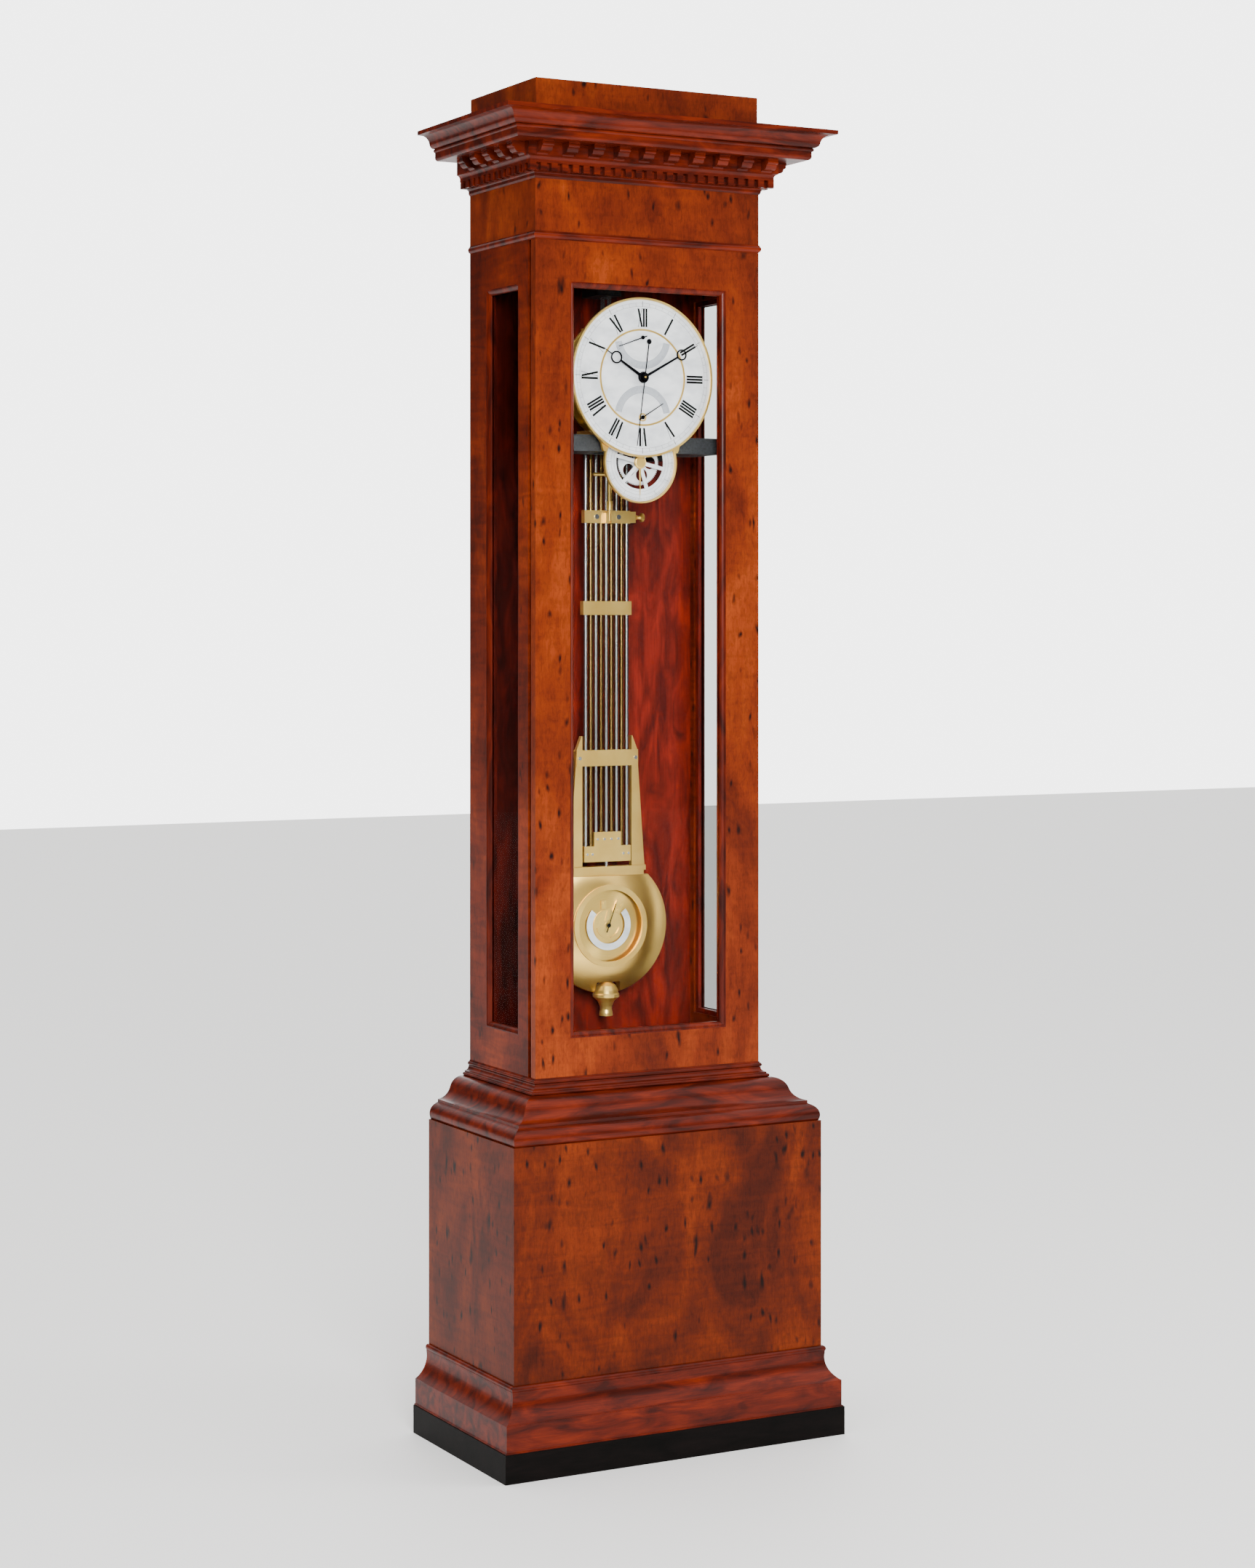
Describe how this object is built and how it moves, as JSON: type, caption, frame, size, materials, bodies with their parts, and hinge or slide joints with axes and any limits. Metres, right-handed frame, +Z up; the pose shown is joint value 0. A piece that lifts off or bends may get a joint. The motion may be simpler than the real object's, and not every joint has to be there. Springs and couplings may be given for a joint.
{
  "type": "grandfather clock",
  "caption": "Tall glazed longcase regulator clock with moulded plinth and dentil cornice, silvered dial, small calendar dial below and a gridiron pendulum.",
  "frame": {"origin": "centre of the plinth's underside, where the clock stands on the floor", "axes": "+Z up the case, -Y towards the glazed front door, +X to the right as seen from the front"},
  "size_m": [0.6018, 0.336, 2.14],
  "materials": {
    "burr_veneer": "french polished",
    "mahogany_moulding": "french polished",
    "ebonised_plinth": "ebonised satin",
    "mahogany_inside": "polished",
    "carcass_oak": "plain planed",
    "window_glass": "clear",
    "gilt_brass": "polished",
    "silvered_brass": "silvered, brushed",
    "polished_steel": "polished",
    "blackened_steel": "blackened",
    "grey_cast_iron": "painted satin"
  },
  "bodies": {
    "case": {"annual_pointer": "silvered_brass", "back_board": "mahogany_inside", "base_moulding": "mahogany_moulding", "base_panels": "burr_veneer", "cap_frame": "burr_veneer", "case_backs": "carcass_oak", "cornice": "mahogany_moulding", "dentils": "mahogany_moulding", "dial_bezels": "gilt_brass", "dial_feet": "gilt_brass", "dial_plate": "silvered_brass", "frieze": "burr_veneer", "hinge_pins": "polished_steel", "inner_boards": "carcass_oak", "iron_bracket": "grey_cast_iron", "lock": "gilt_brass", "modillions": "mahogany_moulding", "movement_pillars": "gilt_brass", "movement_plates": "gilt_brass", "neck_bead": "mahogany_moulding", "plinth": "ebonised_plinth", "side_beads": "mahogany_inside", "side_frame_left": "burr_veneer", "side_frame_right": "burr_veneer", "side_glass": "window_glass", "side_mouldings": "mahogany_moulding", "waist_moulding": "mahogany_moulding"},
    "door": {"door_stiles": "burr_veneer", "door_rails": "burr_veneer", "door_moulding": "mahogany_moulding", "door_glass": "window_glass", "door_beads": "mahogany_inside", "lock_staple": "gilt_brass"},
    "lock_bolt": {"lock_bolt": "polished_steel"},
    "escape": {"escape_wheel": "gilt_brass", "seconds_hand": "blackened_steel"},
    "third": {"third_wheel": "gilt_brass"},
    "minute": {"centre_wheel": "gilt_brass", "minute_hand": "blackened_steel"},
    "barrel": {"barrel": "gilt_brass"},
    "motion": {"motion_wheel": "gilt_brass"},
    "hour": {"hour_wheel": "gilt_brass", "hour_hand": "blackened_steel"},
    "calendar": {"calendar_hand": "blackened_steel"},
    "reserve": {"reserve_hand": "blackened_steel"},
    "annual": {"annual_ring": "silvered_brass"},
    "crutch": {"crutch": "gilt_brass"},
    "pendulum": {"suspension": "polished_steel", "steel_rods": "polished_steel", "brass_rods": "gilt_brass", "crossbars": "gilt_brass", "pendulum_screws": "polished_steel", "pendulum_cage": "gilt_brass", "bob": "gilt_brass", "thermometer_bezel": "gilt_brass", "thermometer_scale": "silvered_brass", "thermometer_glass": "window_glass"},
    "thermometer": {"thermometer_needle": "blackened_steel"},
    "rating": {"rating_nut": "gilt_brass"},
    "adjuster": {"beat_knob": "gilt_brass"}
  },
  "joints": [
    {"name": "door_hinge", "type": "hinge", "parent": "case", "child": "door", "pos_m": [-0.1882, -0.0553, 1.24], "axis": [0, 0, -1], "range_deg": [0, 90]},
    {"name": "lock_bolt_slide", "type": "slide", "parent": "case", "child": "lock_bolt", "axis": [-1, 0, 0], "range_m": [0, 0.007]},
    {"name": "seconds", "type": "hinge", "parent": "case", "child": "escape", "pos_m": [0, -0.046, 1.684], "axis": [0, 1, 0], "continuous": true},
    {"name": "third_turn", "type": "hinge", "parent": "case", "child": "third", "pos_m": [0.03, -0.046, 1.684], "axis": [0, 1, 0], "continuous": true},
    {"name": "minute_turn", "type": "hinge", "parent": "case", "child": "minute", "pos_m": [0, -0.046, 1.684], "axis": [0, 1, 0], "continuous": true},
    {"name": "barrel_turn", "type": "hinge", "parent": "case", "child": "barrel", "pos_m": [-0.054, -0.046, 1.684], "axis": [0, 1, 0], "continuous": true},
    {"name": "motion_turn", "type": "hinge", "parent": "case", "child": "motion", "pos_m": [0, -0.046, 1.66], "axis": [0, 1, 0], "continuous": true},
    {"name": "hour_turn", "type": "hinge", "parent": "case", "child": "hour", "pos_m": [0, -0.046, 1.684], "axis": [0, 1, 0], "continuous": true},
    {"name": "calendar_turn", "type": "hinge", "parent": "case", "child": "calendar", "pos_m": [0, -0.046, 1.7472], "axis": [0, 1, 0], "range_deg": [-130, 20]},
    {"name": "reserve_turn", "type": "hinge", "parent": "case", "child": "reserve", "pos_m": [0, -0.046, 1.6208], "axis": [0, 1, 0], "range_deg": [-120, 20]},
    {"name": "annual_turn", "type": "hinge", "parent": "case", "child": "annual", "pos_m": [0, -0.036, 1.55], "axis": [0, 1, 0], "continuous": true},
    {"name": "pendulum_swing", "type": "hinge", "parent": "case", "child": "pendulum", "pos_m": [0, 0.078, 1.824], "axis": [0, 1, 0], "range_deg": [-2, 2]},
    {"name": "crutch_swing", "type": "hinge", "parent": "case", "child": "crutch", "pos_m": [0, 0.067, 1.716], "axis": [0, 1, 0], "range_deg": [-3.2, 3.2]},
    {"name": "thermometer_turn", "type": "hinge", "parent": "pendulum", "child": "thermometer", "pos_m": [0, 0.067, 0.8056], "axis": [0, 1, 0], "range_deg": [-60, 20]},
    {"name": "rating_turn", "type": "hinge", "parent": "pendulum", "child": "rating", "pos_m": [0, 0.078, 0.69], "axis": [0, 0, 1], "continuous": true},
    {"name": "beat_turn", "type": "hinge", "parent": "pendulum", "child": "adjuster", "pos_m": [0.05, 0.078, 1.4667], "axis": [1, 0, 0], "continuous": true}
  ],
  "couplings": [
    {"joint": "third_turn", "follows": "seconds", "ratio": -0.125},
    {"joint": "minute_turn", "follows": "seconds", "ratio": 0.016667},
    {"joint": "barrel_turn", "follows": "seconds", "ratio": -0.0020833},
    {"joint": "motion_turn", "follows": "seconds", "ratio": -0.0055556},
    {"joint": "hour_turn", "follows": "seconds", "ratio": 0.0013889},
    {"joint": "crutch_swing", "follows": "pendulum_swing", "ratio": 1.4332}
  ]
}
